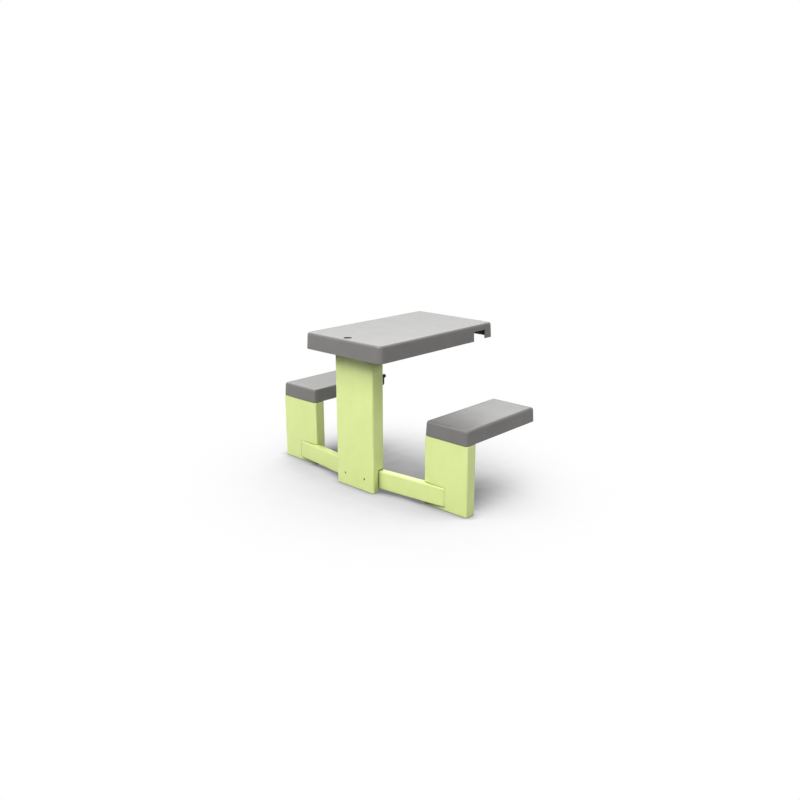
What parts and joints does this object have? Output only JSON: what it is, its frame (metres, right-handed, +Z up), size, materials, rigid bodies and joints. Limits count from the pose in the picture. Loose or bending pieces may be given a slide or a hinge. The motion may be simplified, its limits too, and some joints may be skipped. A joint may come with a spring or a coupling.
{
  "type": "kids picnic table",
  "caption": "Children's picnic table: a moulded top on one post, a seat on a leg at each side, swept crossbars, and a slot under the far end that drops over a low wall.",
  "frame": {"origin": "on the floor, under the middle of the box round the table", "axes": "+X along the crossbars to the right-hand seat, +Y along the table top from the post to the wall slot, +Z up"},
  "size_m": [0.813, 0.5377, 0.49],
  "materials": {
    "grey_plastic": "fine moulded grain",
    "lime_plastic": "satin moulded",
    "black_plastic": "satin moulded",
    "zinc_steel": "zinc plated"
  },
  "bodies": {
    "root": {"table_top": "grey_plastic", "post": "lime_plastic", "left_crossbar": "lime_plastic", "right_crossbar": "lime_plastic", "left_leg": "lime_plastic", "right_leg": "lime_plastic", "left_seat": "grey_plastic", "right_seat": "grey_plastic", "bag_hook": "black_plastic", "left_bar_screw": "zinc_steel", "right_bar_screw": "zinc_steel", "left_inner_leg_screw": "zinc_steel", "left_outer_leg_screw": "zinc_steel", "right_inner_leg_screw": "zinc_steel", "right_outer_leg_screw": "zinc_steel", "left_inner_seat_screw": "zinc_steel", "left_outer_seat_screw": "zinc_steel", "right_inner_seat_screw": "zinc_steel", "right_outer_seat_screw": "zinc_steel", "left_table_screw": "zinc_steel", "right_table_screw": "zinc_steel", "lower_hook_screw": "zinc_steel", "upper_hook_screw": "zinc_steel"}
  },
  "joints": []
}
